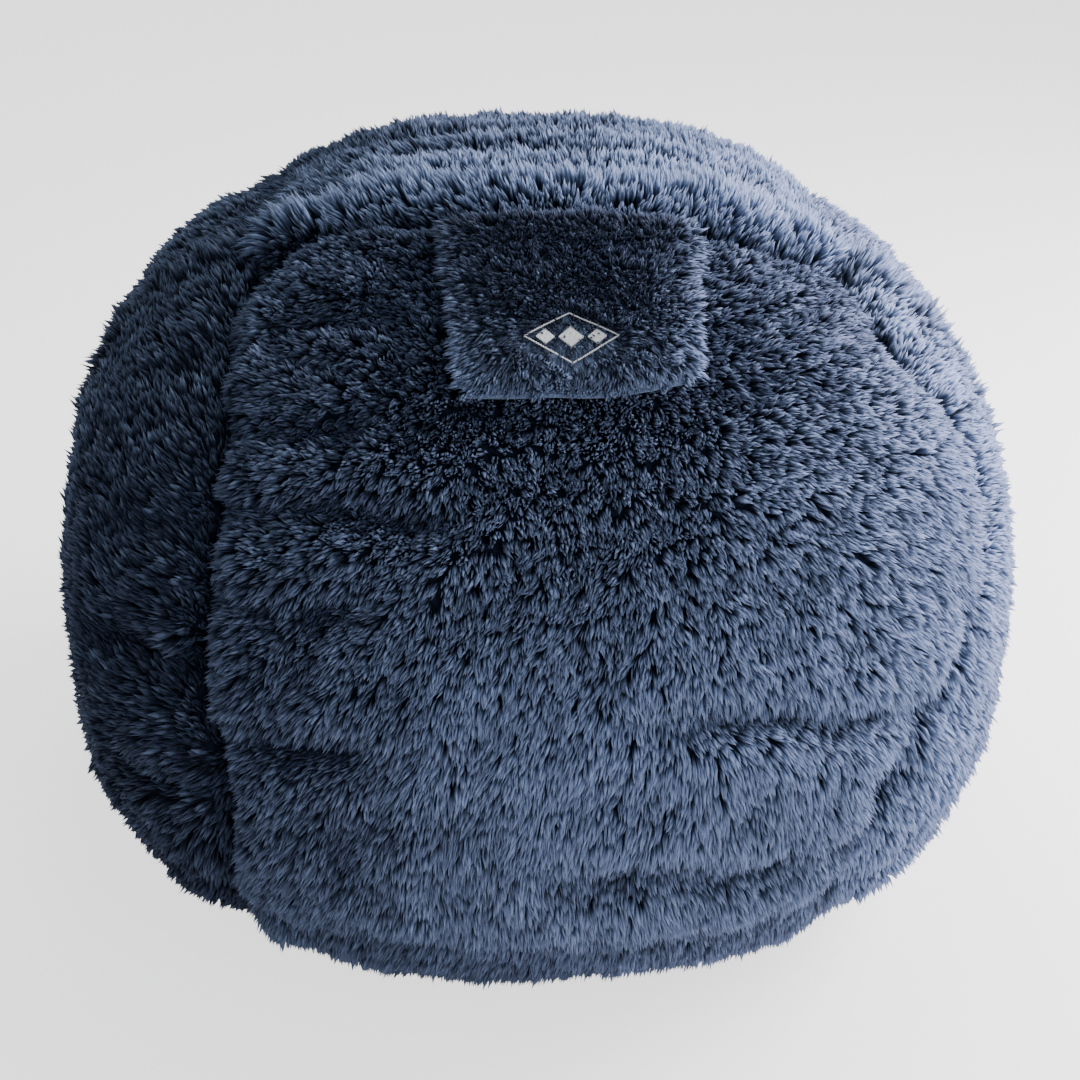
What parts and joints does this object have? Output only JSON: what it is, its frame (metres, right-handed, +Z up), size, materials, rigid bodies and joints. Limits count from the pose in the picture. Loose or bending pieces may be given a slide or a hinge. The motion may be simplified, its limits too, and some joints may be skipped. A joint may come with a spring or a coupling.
{
  "type": "giant bean bag",
  "caption": "Giant round bean bag with a long-pile navy plush cover, drawn-in end seams, a folded top and a square sewn flap.",
  "frame": {"origin": "on the floor under the middle of the bag", "axes": "+X to the right end of the bag, along its widest extent, +Y to the back, away from the flap, +Z up"},
  "size_m": [1.3796, 1.3484, 1.0528],
  "materials": {
    "plush": "long cut pile, soft and matt, navy at the roots and paler blue at the tips",
    "flap_plush": "the same long cut pile, darker because it points at the viewer, with an off-white stitched motif"
  },
  "bodies": {
    "root": {"filled_cover": "plush", "front_flap": "flap_plush"}
  },
  "joints": []
}
